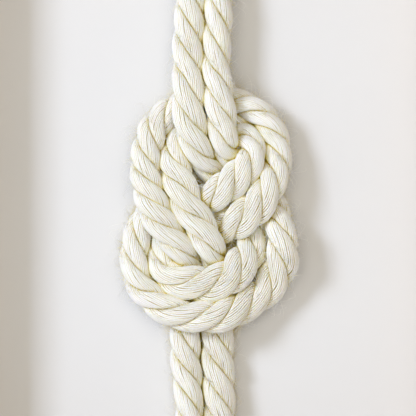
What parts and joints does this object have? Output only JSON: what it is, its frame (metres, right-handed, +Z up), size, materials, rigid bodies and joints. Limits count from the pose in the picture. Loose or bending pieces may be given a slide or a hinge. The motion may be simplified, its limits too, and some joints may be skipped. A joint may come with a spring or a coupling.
{
  "type": "knot board",
  "caption": "Deep box frame of pale wood with a white panel, in which a doubled figure-eight knot of thick twisted cotton rope stands between the top and bottom rails.",
  "frame": {"origin": "centre of the whole object's base, on the surface that the bottom rail stands on", "axes": "+Z up, from the bottom rail to the top rail; the front, where the knot shows, faces -Y; +X to the right as seen from the front"},
  "size_m": [0.2392, 0.0446, 0.29],
  "materials": {
    "wood": "pale oak, clear matt oil",
    "white_paint": "plywood, matt white paint",
    "hardboard": "bare brown hardboard",
    "cotton": "natural cotton rope of three twisted strands",
    "brass": "satin",
    "steel": "zinc plated",
    "rubber": "matt black"
  },
  "bodies": {
    "frame": {"rail_top": "wood", "rail_right": "wood", "rail_bottom": "wood", "rail_left": "wood", "corner_nail_top_left": "steel", "corner_nail_top_right": "steel", "corner_nail_bottom_right": "steel", "corner_nail_bottom_left": "steel", "knot_panel": "white_paint", "backing_board": "hardboard", "button_screw_top": "brass", "button_screw_right": "brass", "button_screw_bottom": "brass", "button_screw_left": "brass", "hanger_strap_left": "steel", "hanger_strap_right": "steel", "hanger_screw_left": "steel", "hanger_screw_right": "steel", "wall_bumper_left": "rubber", "wall_bumper_right": "rubber", "rope_left": "cotton", "rope_right": "cotton"},
    "turn_button_top": {"turn_button_top": "brass"},
    "turn_button_right": {"turn_button_right": "brass"},
    "turn_button_bottom": {"turn_button_bottom": "brass"},
    "turn_button_left": {"turn_button_left": "brass"},
    "hanger_ring_left": {"hanger_ring_left": "steel"},
    "hanger_ring_right": {"hanger_ring_right": "steel"}
  },
  "joints": [
    {"name": "turn_button_top_turn", "type": "hinge", "parent": "frame", "child": "turn_button_top", "pos_m": [0, 0.0187, 0.284], "axis": [0, 1, 0], "continuous": true},
    {"name": "turn_button_right_turn", "type": "hinge", "parent": "frame", "child": "turn_button_right", "pos_m": [0.1136, 0.0187, 0.145], "axis": [0, 1, 0], "continuous": true},
    {"name": "turn_button_bottom_turn", "type": "hinge", "parent": "frame", "child": "turn_button_bottom", "pos_m": [0, 0.0187, 0.006], "axis": [0, 1, 0], "continuous": true},
    {"name": "turn_button_left_turn", "type": "hinge", "parent": "frame", "child": "turn_button_left", "pos_m": [-0.1136, 0.0187, 0.145], "axis": [0, 1, 0], "continuous": true},
    {"name": "hanger_ring_left_swing", "type": "hinge", "parent": "frame", "child": "hanger_ring_left", "pos_m": [-0.1126, 0.02, 0.215], "axis": [1, 0, 0], "range_deg": [0, 180]},
    {"name": "hanger_ring_right_swing", "type": "hinge", "parent": "frame", "child": "hanger_ring_right", "pos_m": [0.1126, 0.02, 0.215], "axis": [1, 0, 0], "range_deg": [0, 180]}
  ]
}
